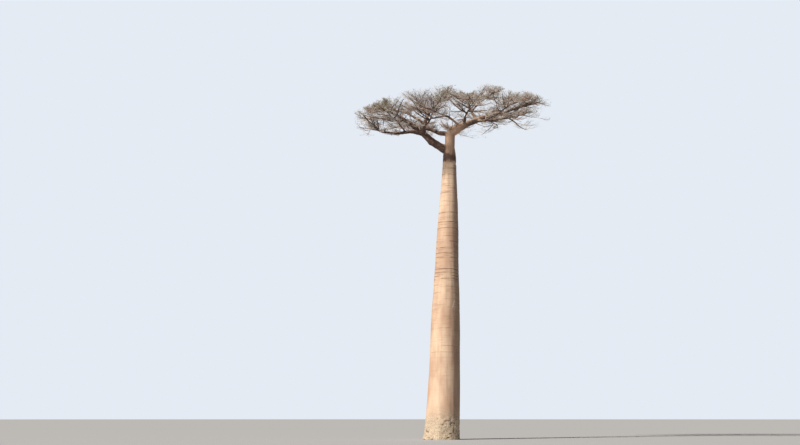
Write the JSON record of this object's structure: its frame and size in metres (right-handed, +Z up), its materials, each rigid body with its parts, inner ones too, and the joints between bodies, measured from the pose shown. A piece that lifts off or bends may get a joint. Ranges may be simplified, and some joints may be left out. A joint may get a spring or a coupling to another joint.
{
  "type": "tall baobab tree",
  "caption": "Tall column-trunked baobab in its dry season, with heavy boughs at the top and a wide, flat, nearly leafless crown.",
  "frame": {"origin": "middle of the flat cut under the trunk, at ground level", "axes": "+Z up along the trunk; seen as in the reference picture, +X is to the right and +Y points away from the viewer"},
  "size_m": [15.0259, 11.9589, 26.8035],
  "materials": {
    "trunk_bark": "smooth pinkish-tan bark with fine level rings, greyer and pitted at the foot",
    "limb_bark": "matt grey-brown bark, tan on the upper side",
    "twigs": "matt grey-brown twigs"
  },
  "bodies": {
    "root": {"trunk": "trunk_bark", "bough_left": "limb_bark", "bough_right": "limb_bark", "limb_rising_left": "limb_bark", "limb_upper_left": "limb_bark", "limb_low_left": "limb_bark", "limb_far_left": "limb_bark", "limb_side_left": "limb_bark", "limb_near_left": "limb_bark", "limb_near_middle": "limb_bark", "limb_near_right": "limb_bark", "limb_low_right": "limb_bark", "limb_front_right": "limb_bark", "limb_rising_right": "limb_bark", "limb_top_right": "limb_bark", "limb_inner": "limb_bark", "limb_far": "limb_bark", "limb_far_middle": "limb_bark", "limb_far_right": "limb_bark", "limb_back_right": "limb_bark", "limb_crown_right": "limb_bark", "limb_top_left": "limb_bark", "twigs_left": "twigs", "twigs_right": "twigs", "twigs_rising_left": "twigs", "twigs_upper_left": "twigs", "twigs_low_left": "twigs", "twigs_far_left": "twigs", "twigs_side_left": "twigs", "twigs_near_left": "twigs", "twigs_near_middle": "twigs", "twigs_near_right": "twigs", "twigs_low_right": "twigs", "twigs_front_right": "twigs", "twigs_rising_right": "twigs", "twigs_top_right": "twigs", "twigs_inner": "twigs", "twigs_far": "twigs", "twigs_far_middle": "twigs", "twigs_far_right": "twigs", "twigs_back_right": "twigs", "twigs_crown_right": "twigs", "twigs_top_left": "twigs"}
  },
  "joints": []
}
